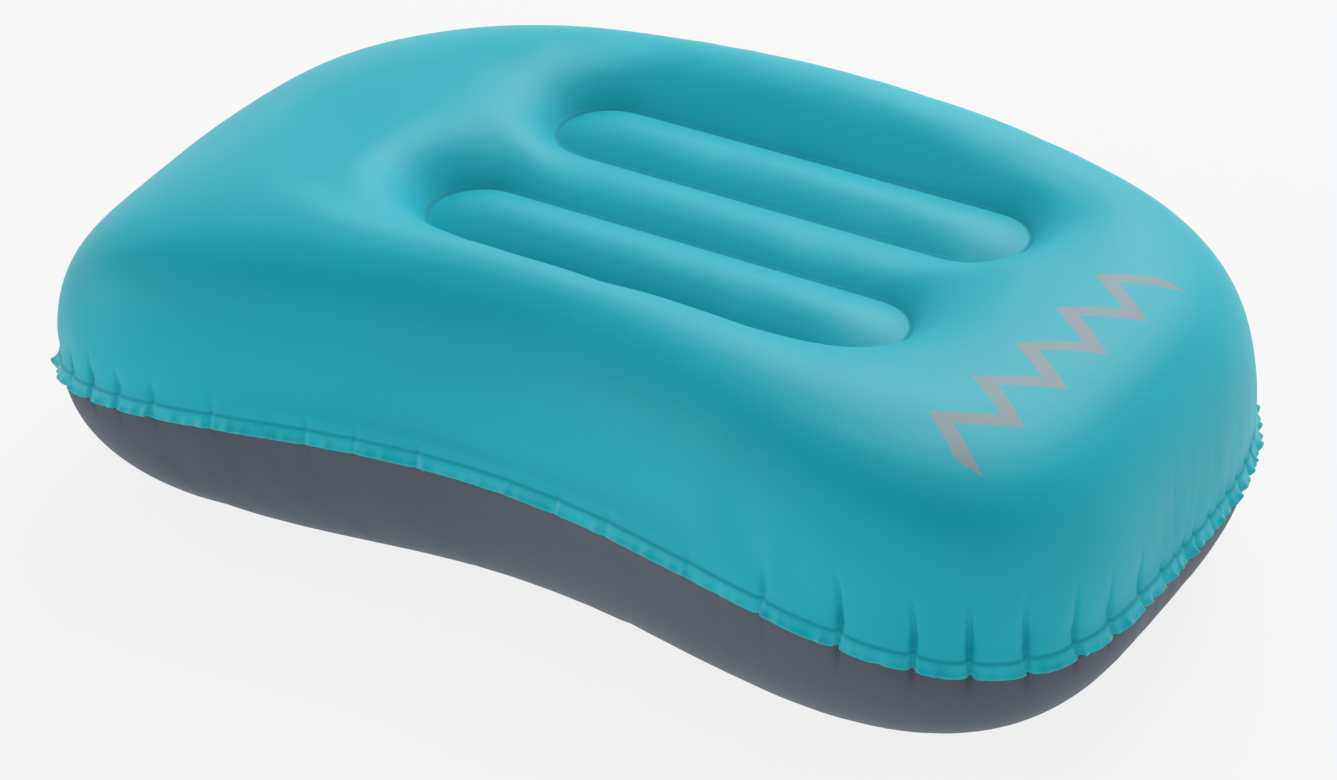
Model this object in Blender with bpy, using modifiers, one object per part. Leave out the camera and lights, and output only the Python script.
"""Inflatable camp pillow: two fabric panels welded round a flange, two tie baffles inside, and a two-stage air valve.

Metres, +Z up. X runs along the pillow, the waisted front edge faces -Y, and the pillow rests on z = 0.
"""

import math

import bmesh
import bpy
from mathutils import Matrix, Vector

# Outline of the flange's outer edge, a superellipse with a waist in front and a bow behind.
HALF_LENGTH = 0.233
FRONT_REACH = 0.142
BACK_REACH = 0.1705
FRONT_SQUARENESS = 4.1
BACK_SQUARENESS = 3.6
BACK_FLARE = 0.03
WAIST_DEPTH = 0.049
BACK_BOW = 0.018
WAIST_SPREAD = 0.186
FLANGE_WIDTH = 0.005

# Heights of the inflated panels.
SEAM_HEIGHT = 0.0675
SEAM_DROP = 0.013
SEAM_SLOPE = -0.024
TOP_RISE = 0.067
FULLNESS_RIGHT = 3.8
FULLNESS_LEFT = 3.0
FULLNESS_BACK = 3.4
FULLNESS_FRONT = 2.7
FLOOR_PRESS = 0.0050
BOTTOM_FULLNESS = 2.0
DISH_DEPTH = 0.0195
DISH_MARGIN = 0.045
PANEL_THICKNESS = 0.0008
GAP = 0.0003

# Resolution of the panels.
SEGMENTS_AROUND = 64
RINGS = 11
RING_CROWDING = 1.7

# Tie baffles: closed loops of fabric between the panels.
LOOP_LENGTH = 0.214
LOOP_WIDTH = 0.042
RIDGE_WIDTH = 0.039
LOOPS_Y = 0.019
FRONT_LOOP_X = 0.009
REAR_LOOP_X = 0.017
BAFFLE_THICKNESS = 0.0006
BAFFLE_TOP = 0.1078
BAFFLE_SEGMENTS = 24
VENT_RADIUS = 0.005
VENT_SPACING = 0.055
VENT_SIDES = 12

# Valve. Its own frame has +Z out of the fabric and +Y up the rear flank towards the seam.
VALVE_X = -0.070
VALVE_HEIGHT = 0.028
VALVE_TILT = math.radians(22)
VALVE_FLAT_RADIUS = 0.020
VALVE_BLEND_RADIUS = 0.030
HOLE_RADIUS = 0.0135
BORE_RADIUS = 0.0105
COLLAR_RADIUS = 0.0130
WELD_FLANGE_RADIUS = 0.0185
COLLAR_TOP = 0.0054
PLUG_RADIUS = 0.0101
PLUG_LIP_RADIUS = 0.0140
LIP_BOTTOM = 0.0057
LIP_TOP = 0.0069
NOZZLE_BORE = 0.0055
NOZZLE_RADIUS = 0.0075
NOZZLE_TOP = 0.0105
LEAD_IN_WIDTH = 0.0010
LEAD_IN_DEPTH = 0.0016
SPIDER_BOTTOM = -0.0015
SPIDER_TOP = -0.0004
SPIDER_HOLES = 5
PLUG_HINGE = Vector((0, 0.01845, 0.0016))
CAP_HINGE = Vector((0, 0.0119, 0.0084))
PLUG_STRAP_WIDTH = 0.0070
PLUG_TAB_WIDTH = 0.0090
CAP_STRAP_WIDTH = 0.0050
CAP_TAB_WIDTH = 0.0060
AIR_HOLE_RADIUS = 0.0014
AIR_HOLE_REACH = 0.0034
AIR_HOLE_SIDES = 10
TURN_STEPS = 28


def clear_scene():
    for obj in list(bpy.data.objects):
        bpy.data.objects.remove(obj, do_unlink=True)


def new_collection(name):
    collection = bpy.data.collections.new(name)
    bpy.context.scene.collection.children.link(collection)
    return collection


clear_scene()
PILLOW = new_collection("camp_pillow")
CUTTERS = new_collection("cutters")


# ---------------------------------------------------------------- helpers


def material(name, color, roughness):
    found = bpy.data.materials.new(name)
    found.use_nodes = True
    shader = found.node_tree.nodes["Principled BSDF"]
    shader.inputs["Base Color"].default_value = (*color, 1)
    shader.inputs["Roughness"].default_value = roughness
    shader.inputs["Metallic"].default_value = 0
    return found


def add_object(name, mesh, look=None, parent=None, collection=PILLOW):
    obj = bpy.data.objects.new(name, mesh)
    collection.objects.link(obj)
    obj.parent = parent
    if look:
        mesh.materials.append(look)
    return obj


def add_helper(name, mesh, parent=None):
    obj = add_object(name, mesh, parent=parent, collection=CUTTERS)
    obj.hide_render = True
    obj.display_type = "WIRE"
    return obj


def mesh_from(bm, name):
    mesh = bpy.data.meshes.new(name)
    bm.to_mesh(mesh)
    bm.free()
    return mesh


def boolean(obj, other, operation):
    modifier = obj.modifiers.new(other.name, "BOOLEAN")
    modifier.operation = operation
    modifier.solver = "EXACT"
    modifier.object = other


def solidify(obj, thickness, offset=-1.0):
    modifier = obj.modifiers.new("thickness", "SOLIDIFY")
    modifier.thickness = thickness
    modifier.offset = offset
    modifier.use_even_offset = True


def cylinder_mesh(name, radius, low, high, sides=TURN_STEPS, at=(0, 0)):
    bm = bmesh.new()
    middle = Matrix.Translation((at[0], at[1], (low + high) / 2))
    bmesh.ops.create_cone(
        bm,
        cap_ends=True,
        segments=sides,
        radius1=radius,
        radius2=radius,
        depth=high - low,
        matrix=middle,
    )
    return mesh_from(bm, name)


def turned(name, profile, look, parent, origin=Vector()):
    """A profile of (radius, height) points, outer side running down, turned about the valve's axis."""
    closed = min(radius for radius, _ in profile) > 0
    count = len(profile)
    edges = [(i, i + 1) for i in range(count - 1)]
    if closed:
        edges.append((count - 1, 0))
    mesh = bpy.data.meshes.new(name)
    mesh.from_pydata([(radius, 0, height) for radius, height in profile], edges, [])
    mesh.transform(Matrix.Translation(Vector((0, 0, -origin.z))))
    obj = add_object(name, mesh, look, parent)
    screw = obj.modifiers.new("turn", "SCREW")
    screw.axis = "Z"
    screw.steps = TURN_STEPS
    screw.render_steps = TURN_STEPS
    screw.use_merge_vertices = True
    screw.merge_threshold = 0.00001
    screw.use_normal_calculate = False
    if origin.y:
        freeze(obj)
        obj.data.transform(Matrix.Translation((0, -origin.y, 0)))
    return obj


def freeze(obj):
    """Replaces the object's mesh by its evaluated mesh, so that its origin can sit off the turned axis."""
    graph = bpy.context.evaluated_depsgraph_get()
    baked = bpy.data.meshes.new_from_object(obj.evaluated_get(graph))
    obj.modifiers.clear()
    obj.data = baked
    bm = bmesh.new()
    bm.from_mesh(baked)
    bmesh.ops.remove_doubles(bm, verts=bm.verts, dist=0.00001)
    bm.to_mesh(baked)
    bm.free()


def side_profile(name, points, width, parent, origin=Vector()):
    """A flat outline in the valve's YZ plane, extruded along X to the given width, as a welded mesh."""
    curve = bpy.data.curves.new(name, "CURVE")
    curve.dimensions = "2D"
    curve.fill_mode = "BOTH"
    curve.extrude = width / 2
    spline = curve.splines.new("POLY")
    spline.points.add(len(points) - 1)
    for point, (y, z) in zip(spline.points, points, strict=True):
        point.co = (y - origin.y, z - origin.z, 0, 1)
    spline.use_cyclic_u = True
    guide = bpy.data.objects.new(name, curve)
    CUTTERS.objects.link(guide)
    graph = bpy.context.evaluated_depsgraph_get()
    mesh = bpy.data.meshes.new_from_object(guide.evaluated_get(graph))
    bpy.data.objects.remove(guide)
    turn = Matrix(((0, 0, 1, 0), (1, 0, 0, 0), (0, 1, 0, 0), (0, 0, 0, 1)))
    mesh.transform(turn)
    bm = bmesh.new()
    bm.from_mesh(mesh)
    bmesh.ops.remove_doubles(bm, verts=bm.verts, dist=0.00001)
    bmesh.ops.recalc_face_normals(bm, faces=bm.faces)
    bm.to_mesh(mesh)
    bm.free()
    return add_helper(name, mesh, parent)


def smoothstep(low, high, value):
    t = min(max((value - low) / (high - low), 0), 1)
    return t * t * (3 - 2 * t)


# ---------------------------------------------------------------- pillow shape


def raw_outline(angle):
    """The flange's outer edge in that direction, before it is centred on the row's origin."""
    along, out = math.cos(angle), math.sin(angle)
    power = FRONT_SQUARENESS if out < 0 else BACK_SQUARENESS
    reach = (abs(along) ** power + abs(out) ** power) ** (-1 / power)
    across = out * reach
    x = HALF_LENGTH * along * reach * (1 + BACK_FLARE * across)
    middle = math.exp(-((x / WAIST_SPREAD) ** 2)) * across**2
    if across < 0:
        return Vector((x, across * FRONT_REACH + WAIST_DEPTH * middle, 0))
    return Vector((x, across * BACK_REACH + BACK_BOW * middle, 0))


ANGLES = [2 * math.pi * i / SEGMENTS_AROUND for i in range(SEGMENTS_AROUND)]
EDGE_Y = [raw_outline(angle).y for angle in ANGLES]
CENTRING = Vector((0, -(min(EDGE_Y) + max(EDGE_Y)) / 2, 0))


def outline(angle):
    return raw_outline(angle) + CENTRING


def weld_line(angle):
    """The flange's inner edge, where the two panels part."""
    step = 0.01
    along = (outline(angle + step) - outline(angle - step)).normalized()
    inward = Vector((-along.y, along.x, 0))
    return outline(angle) + FLANGE_WIDTH * inward


def seam_height(x, y):
    """The flange sinks towards the two ends, and a little from front to back."""
    return SEAM_HEIGHT + SEAM_SLOPE * y - SEAM_DROP * (x / HALF_LENGTH) ** 2


def top_fullness(angle):
    """How squarely the top rises from the seam in that direction."""
    ends = FULLNESS_RIGHT if math.cos(angle) > 0 else FULLNESS_LEFT
    sides = FULLNESS_BACK if math.sin(angle) > 0 else FULLNESS_FRONT
    return ends * math.cos(angle) ** 2 + sides * math.sin(angle) ** 2


def dish(x, y):
    """How far the top sinks over the tie baffles."""
    middle = (FRONT_LOOP_X + REAR_LOOP_X) / 2
    half_length = LOOP_LENGTH / 2
    half_width = LOOP_WIDTH + RIDGE_WIDTH / 2
    beyond = max(abs(x - middle) - half_length, 0)
    beside = max(abs(y - LOOPS_Y) - half_width, 0)
    return DISH_DEPTH * (1 - smoothstep(0, DISH_MARGIN, math.hypot(beyond, beside)))


def panel_point(angle, level, side):
    """A point of a panel's outer face. level is 0 at the weld line and 1 at the middle; side is 1 above, -1 below."""
    spread = math.sqrt(max(1 - level * level, 0))
    point = spread * weld_line(angle)
    point.z = seam_height(point.x, point.y) + side * (GAP / 2 + PANEL_THICKNESS)
    if side > 0:
        fullness = 1 - (1 - level) ** top_fullness(angle)
        point.z += TOP_RISE * fullness - dish(point.x, point.y) * fullness
    else:
        depth = seam_height(point.x, point.y) + FLOOR_PRESS
        point.z -= depth * (1 - (1 - level) ** BOTTOM_FULLNESS)
        point.z = max(point.z, 0)
    return point


def from_unit_sphere(co, side):
    """Maps a point of the unit hemisphere, or of the rim drawn at twice its radius, to the panel."""
    angle = math.atan2(co.y, co.x)
    if math.hypot(co.x, co.y) > 1.5:
        edge = outline(angle)
        edge.z = seam_height(edge.x, edge.y) + side * (GAP / 2 + PANEL_THICKNESS)
        return edge
    return panel_point(angle, max(co.z, 0) ** RING_CROWDING, side)


def hemisphere():
    """The upper half of a unit sphere with a flange ring drawn out to twice its radius."""
    bm = bmesh.new()
    bmesh.ops.create_uvsphere(bm, u_segments=SEGMENTS_AROUND, v_segments=2 * RINGS, radius=1)
    below = [vert for vert in bm.verts if vert.co.z < -0.001]
    bmesh.ops.delete(bm, geom=below, context="VERTS")
    rim = [edge for edge in bm.edges if edge.is_boundary]
    flange = bmesh.ops.extrude_edge_only(bm, edges=rim)["geom"]
    for vert in flange:
        if isinstance(vert, bmesh.types.BMVert):
            vert.co = 2 * vert.co
            vert.co.z = 0
    return bm


def refine_near(bm, centre, side, reach):
    """Halves the edges of the unit hemisphere whose mapped ends both lie within reach of centre."""
    near = {vert: (from_unit_sphere(vert.co, side) - centre).length < reach for vert in bm.verts}
    inside = {vert: vert.co.z > 0.001 for vert in bm.verts}
    edges = [
        edge
        for edge in bm.edges
        if all(near[vert] for vert in edge.verts) and any(inside[vert] for vert in edge.verts)
    ]
    bmesh.ops.subdivide_edges(bm, edges=edges, cuts=1, use_grid_fill=True)
    for vert in bm.verts:
        if vert.co.z > 0.001:
            vert.co.normalize()


def panel(name, side, look, valve_frame):
    """A domed panel with its flange. The lower one is flattened round the valve."""
    bm = hemisphere()
    if side < 0:
        for _ in range(2):
            refine_near(bm, valve_frame.translation, side, 1.5 * VALVE_BLEND_RADIUS)
    for vert in bm.verts:
        vert.co = from_unit_sphere(vert.co, side)
        if side < 0:
            vert.co = flattened(vert.co, valve_frame)
    bmesh.ops.triangulate(bm, faces=[face for face in bm.faces if len(face.verts) > 4])
    if side < 0:
        bmesh.ops.reverse_faces(bm, faces=bm.faces)
    mesh = mesh_from(bm, name)
    mesh.shade_smooth()
    obj = add_object(name, mesh, look)
    solidify(obj, PANEL_THICKNESS)
    return obj


def flattened(point, valve_frame):
    """Presses a point near the valve on to the valve's plane, fading out at the blend radius."""
    local = valve_frame.inverted() @ point
    share = 1 - smoothstep(VALVE_FLAT_RADIUS, VALVE_BLEND_RADIUS, local.length)
    local.z *= 1 - share
    return valve_frame @ local


def valve_frame_on_flank():
    """The valve's frame, on the lower panel's rear flank at VALVE_HEIGHT, facing out and a little down."""
    angle = next(
        a for a in (math.pi * (0.5 + i / 720) for i in range(360)) if weld_line(a).x <= VALVE_X
    )
    level = next(i / 400 for i in range(400) if panel_point(angle, i / 400, -1).z <= VALVE_HEIGHT)
    centre = panel_point(angle, level, -1)
    lean, rise = math.sin(VALVE_TILT), math.cos(VALVE_TILT)
    turn = Matrix(((-1, 0, 0), (0, lean, rise), (0, rise, -lean)))
    return Matrix.Translation(centre) @ turn.to_4x4()


# ---------------------------------------------------------------- baffles


def loop_outline(bm, centre):
    """A stadium loop: a circle's two halves moved apart along X."""
    radius = LOOP_WIDTH / 2
    straight = LOOP_LENGTH / 2 - radius
    made = bmesh.ops.create_circle(bm, segments=BAFFLE_SEGMENTS, radius=radius)["verts"]
    half_step = Matrix.Rotation(math.pi / BAFFLE_SEGMENTS, 4, "Z")
    for vert in made:
        vert.co = half_step @ vert.co
        vert.co.x += math.copysign(straight, vert.co.x) + centre[0]
        vert.co.y += centre[1]
        vert.co.z = PANEL_THICKNESS + GAP


def baffle(name, centre, look):
    """A closed-loop tie strip standing between the panels, with vents so that air fills it too."""
    bm = bmesh.new()
    loop_outline(bm, centre)
    walls = bmesh.ops.extrude_edge_only(bm, edges=bm.edges[:])["geom"]
    height = BAFFLE_TOP - PANEL_THICKNESS - GAP
    tops = [item for item in walls if isinstance(item, bmesh.types.BMVert)]
    bmesh.ops.translate(bm, verts=tops, vec=(0, 0, height))
    bmesh.ops.recalc_face_normals(bm, faces=bm.faces)
    obj = add_object(name, mesh_from(bm, name), look)
    solidify(obj, BAFFLE_THICKNESS, offset=0)
    for column in (-1, 0, 1):
        cutter = add_helper(
            f"{name}_vent_{column + 1}",
            cylinder_mesh("vent", VENT_RADIUS, -LOOP_WIDTH, LOOP_WIDTH, VENT_SIDES),
        )
        cutter.rotation_euler.x = math.pi / 2
        cutter.location = (centre[0] + column * VENT_SPACING, centre[1], BAFFLE_TOP / 2)
        boolean(obj, cutter, "DIFFERENCE")
    return obj


# ---------------------------------------------------------------- valve


def valve_base(look, frame):
    """The moulded ring welded inside the lower panel, with the collar that stands out through its hole."""
    under = -(PANEL_THICKNESS + GAP)
    flange_bottom = under - 0.0010
    chamfer = 0.0004
    profile = [
        (COLLAR_RADIUS - chamfer, COLLAR_TOP),
        (COLLAR_RADIUS, COLLAR_TOP - chamfer),
        (COLLAR_RADIUS, under),
        (WELD_FLANGE_RADIUS - chamfer, under),
        (WELD_FLANGE_RADIUS, under - chamfer),
        (WELD_FLANGE_RADIUS, flange_bottom),
        (BORE_RADIUS, flange_bottom),
        (BORE_RADIUS, COLLAR_TOP - LEAD_IN_DEPTH),
        (BORE_RADIUS + LEAD_IN_WIDTH, COLLAR_TOP),
    ]
    return turned("valve_base", profile, look, frame)


def tether(name, look, frame, *, inner, outer, low, high, reach, width):
    """A strap ring round a neck, with the stub that its flexing strap starts from."""
    ring = turned(name, [(outer, high), (outer, low), (inner, low), (inner, high)], look, frame)
    middle = (inner + outer) / 2
    stub = [(middle, low), (reach, low), (reach, high), (middle, high)]
    boolean(ring, side_profile(f"{name}_stub", stub, width, frame), "UNION")
    return ring


def deflate_plug(look, hinge):
    """The large plug: a skirt in the collar, a lip over it, a nozzle through it and a spider across its foot."""
    groove_top, groove_bottom, groove_radius = 0.0042, 0.0024, 0.0089
    stem_hole = 0.0010
    profile = [
        (NOZZLE_RADIUS - 0.0003, NOZZLE_TOP),
        (NOZZLE_RADIUS, NOZZLE_TOP - 0.0003),
        (NOZZLE_RADIUS, LIP_TOP),
        (PLUG_LIP_RADIUS - 0.0004, LIP_TOP),
        (PLUG_LIP_RADIUS, LIP_TOP - 0.0004),
        (PLUG_LIP_RADIUS, LIP_BOTTOM),
        (PLUG_RADIUS, LIP_BOTTOM),
        (PLUG_RADIUS, groove_top),
        (groove_radius, groove_top),
        (groove_radius, groove_bottom),
        (PLUG_RADIUS, groove_bottom),
        (PLUG_RADIUS, SPIDER_BOTTOM + 0.0004),
        (PLUG_RADIUS - 0.0004, SPIDER_BOTTOM),
        (stem_hole, SPIDER_BOTTOM),
        (stem_hole, SPIDER_TOP),
        (NOZZLE_BORE, SPIDER_TOP),
        (NOZZLE_BORE, NOZZLE_TOP),
    ]
    plug = turned("deflate_plug", profile, look, hinge, PLUG_HINGE)
    strap = [
        (0.0126, LIP_BOTTOM + 0.0001),
        (0.0138, LIP_BOTTOM + 0.0001),
        (0.0179, 0.0025),
        (0.0179, 0.0021),
        (0.0190, 0.0021),
        (0.0190, 0.0033),
        (0.0146, LIP_TOP - 0.0001),
        (0.0126, LIP_TOP - 0.0001),
    ]
    boolean(plug, side_profile("plug_strap", strap, PLUG_STRAP_WIDTH, hinge, PLUG_HINGE), "UNION")
    tab = [
        (-0.0195, LIP_BOTTOM + 0.0001),
        (-0.0126, LIP_BOTTOM + 0.0001),
        (-0.0126, LIP_TOP - 0.0001),
        (-0.0195, LIP_TOP - 0.0001),
    ]
    boolean(plug, side_profile("plug_tab", tab, PLUG_TAB_WIDTH, hinge, PLUG_HINGE), "UNION")
    for hole in range(SPIDER_HOLES):
        angle = 2 * math.pi * hole / SPIDER_HOLES
        at = (AIR_HOLE_REACH * math.cos(angle), AIR_HOLE_REACH * math.sin(angle))
        low, high = SPIDER_BOTTOM - 0.001, SPIDER_TOP + 0.001
        mesh = cylinder_mesh("air_hole", AIR_HOLE_RADIUS, low, high, AIR_HOLE_SIDES, at)
        mesh.transform(Matrix.Translation(-PLUG_HINGE))
        boolean(plug, add_helper(f"air_hole_{hole}", mesh, hinge), "DIFFERENCE")
    return plug


def plug_seal_ring(look, hinge):
    """The rubber ring in the plug's groove."""
    major, minor, height, sides = 0.00965, 0.0005, 0.0033, 8
    profile = []
    for i in range(sides):
        angle = -2 * math.pi * i / sides
        profile.append((major + minor * math.cos(angle), height + minor * math.sin(angle)))
    return turned("plug_seal_ring", profile, look, hinge, PLUG_HINGE)


def one_way_flap(look, parent):
    """The thin silicone disc that lets breath in and lies shut against the spider."""
    high = SPIDER_BOTTOM - GAP
    low = high - 0.0006
    profile = [(0.0075, high), (0.0075, low), (0.0011, low), (0.0011, high)]
    return turned("one_way_flap", profile, look, parent)


def flap_retainer(look, hinge):
    """The button whose stem holds the flap under the spider."""
    profile = [
        (0, SPIDER_TOP + GAP + 0.0008),
        (0.0014, SPIDER_TOP + GAP + 0.0008),
        (0.0019, SPIDER_TOP + GAP + 0.0004),
        (0.0019, SPIDER_TOP + GAP),
        (0.0007, SPIDER_TOP + GAP),
        (0.0007, -0.0042),
        (0.0017, -0.0042),
        (0.0012, -0.0050),
        (0, -0.0050),
    ]
    return turned("flap_retainer", profile, look, hinge, PLUG_HINGE)


def inflate_cap(look, hinge):
    """The small snap cap over the nozzle, with its strap end and finger tab."""
    plate_bottom = NOZZLE_TOP + GAP
    plate_top = plate_bottom + 0.0012
    skirt_bottom = 0.0087
    inner, outer = NOZZLE_RADIUS + 0.0004, 0.0092
    profile = [
        (0, plate_top),
        (outer - 0.0006, plate_top),
        (outer, plate_top - 0.0005),
        (outer, skirt_bottom),
        (inner, skirt_bottom),
        (inner, plate_bottom),
        (0, plate_bottom),
    ]
    cap = turned("inflate_cap", profile, look, hinge, CAP_HINGE)
    strap = [(0.0085, skirt_bottom), (0.0124, skirt_bottom), (0.0124, 0.0096), (0.0085, 0.0096)]
    boolean(cap, side_profile("cap_strap", strap, CAP_STRAP_WIDTH, hinge, CAP_HINGE), "UNION")
    tab = [
        (-0.0128, plate_bottom + 0.0001),
        (-0.0085, plate_bottom + 0.0001),
        (-0.0085, plate_top - 0.0001),
        (-0.0128, plate_top - 0.0001),
    ]
    boolean(cap, side_profile("cap_tab", tab, CAP_TAB_WIDTH, hinge, CAP_HINGE), "UNION")
    return cap


def empty(name, parent, at):
    obj = bpy.data.objects.new(name, None)
    PILLOW.objects.link(obj)
    obj.parent = parent
    obj.location = at
    return obj


def main():
    top_fabric = material("top_fabric", (0.014, 0.33, 0.41), 0.62)
    bottom_fabric = material("bottom_fabric", (0.075, 0.082, 0.10), 0.70)
    tie_film = material("tie_film", (0.62, 0.64, 0.65), 0.45)
    valve_plastic = material("valve_plastic", (0.055, 0.058, 0.065), 0.42)
    seal_rubber = material("seal_rubber", (0.02, 0.02, 0.022), 0.55)
    silicone = material("silicone", (0.72, 0.74, 0.75), 0.40)

    frame_matrix = valve_frame_on_flank()
    panel("top_panel", 1, top_fabric, frame_matrix)
    lower = panel("bottom_panel", -1, bottom_fabric, frame_matrix)

    valve_axis = empty("valve_axis", None, (0, 0, 0))
    valve_axis.matrix_world = frame_matrix
    hole = add_helper("valve_hole", cylinder_mesh("valve_hole", HOLE_RADIUS, -0.006, 0.006), valve_axis)
    boolean(lower, hole, "DIFFERENCE")

    offset = (LOOP_WIDTH + RIDGE_WIDTH) / 2
    baffle("front_baffle", (FRONT_LOOP_X, LOOPS_Y - offset), tie_film)
    baffle("rear_baffle", (REAR_LOOP_X, LOOPS_Y + offset), tie_film)

    plug_hinge = empty("plug_hinge", valve_axis, PLUG_HINGE)
    cap_hinge = empty("cap_hinge", plug_hinge, CAP_HINGE - PLUG_HINGE)
    flap_axis = empty("flap_axis", plug_hinge, -PLUG_HINGE)

    valve_base(valve_plastic, valve_axis)
    tether(
        "plug_tether",
        valve_plastic,
        valve_axis,
        inner=COLLAR_RADIUS + GAP,
        outer=COLLAR_RADIUS + 0.0026,
        low=0.0004,
        high=0.0018,
        reach=0.0172,
        width=PLUG_STRAP_WIDTH,
    )
    deflate_plug(valve_plastic, plug_hinge)
    plug_seal_ring(seal_rubber, plug_hinge)
    flap_retainer(silicone, plug_hinge)
    one_way_flap(silicone, flap_axis)
    tether(
        "cap_tether",
        valve_plastic,
        flap_axis,
        inner=NOZZLE_RADIUS + GAP,
        outer=NOZZLE_RADIUS + 0.0021,
        low=LIP_TOP + GAP,
        high=LIP_TOP + 0.0015,
        reach=0.0109,
        width=CAP_STRAP_WIDTH,
    )
    inflate_cap(valve_plastic, cap_hinge)


main()
